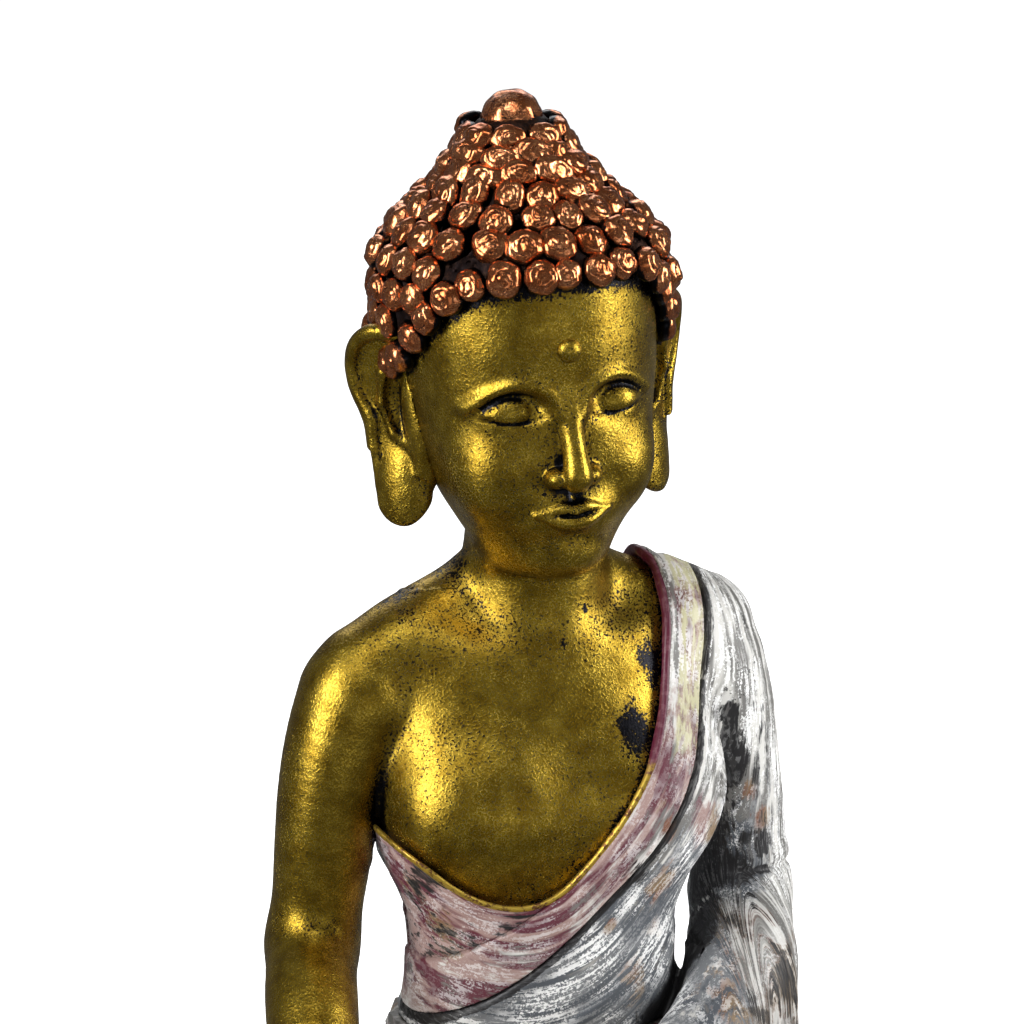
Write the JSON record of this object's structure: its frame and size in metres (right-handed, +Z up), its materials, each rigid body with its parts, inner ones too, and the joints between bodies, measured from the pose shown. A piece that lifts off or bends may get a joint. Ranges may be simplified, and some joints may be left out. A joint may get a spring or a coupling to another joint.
{
  "type": "seated buddha statue",
  "caption": "Seated Buddha statue in painted cast resin: gold skin, copper curls, whitewashed robe over one shoulder, flat cork-backed base for a shelf or altar.",
  "frame": {"origin": "centre of the statue's bounding box in X and Y, on the underside of the cork sheet it stands on", "axes": "+Z up; the figure faces -Y; its own right side is -X, so +X is to the right of someone who faces it"},
  "size_m": [0.204, 0.1439, 0.2964],
  "materials": {
    "gold_paint": "metallic gold paint over a black undercoat on cast resin",
    "copper_paint": "metallic copper paint over a black undercoat on cast resin",
    "robe_paint": "dry-brushed whitewash with grey, pink and brown streaks on cast resin",
    "hem_paint": "burgundy paint, worn at the ridge",
    "raw_resin": "unpainted cast resin",
    "cork": "pressed cork",
    "steel": "plain rod, glued in"
  },
  "bodies": {
    "root": {"cork_base": "cork", "closing_plate": "raw_resin", "crossed_legs": "robe_paint", "robe_fan": "robe_paint", "right_foot": "gold_paint", "left_foot": "gold_paint", "torso": "gold_paint", "robe_wrap": "robe_paint", "robe_sash": "robe_paint", "robe_mantle": "robe_paint", "robe_edge": "hem_paint", "right_arm": "gold_paint", "right_hand": "gold_paint", "left_sleeve": "robe_paint", "left_hand": "gold_paint", "neck_dowel": "steel", "arm_pins": "steel", "wrist_pins": "steel", "ankle_pin": "steel", "head": "gold_paint", "right_ear": "gold_paint", "left_ear": "gold_paint", "urna": "gold_paint", "hair_cap": "copper_paint", "side_curls": "copper_paint", "crown_curls": "copper_paint", "topknot_curls": "copper_paint", "crown_knob": "copper_paint"}
  },
  "joints": []
}
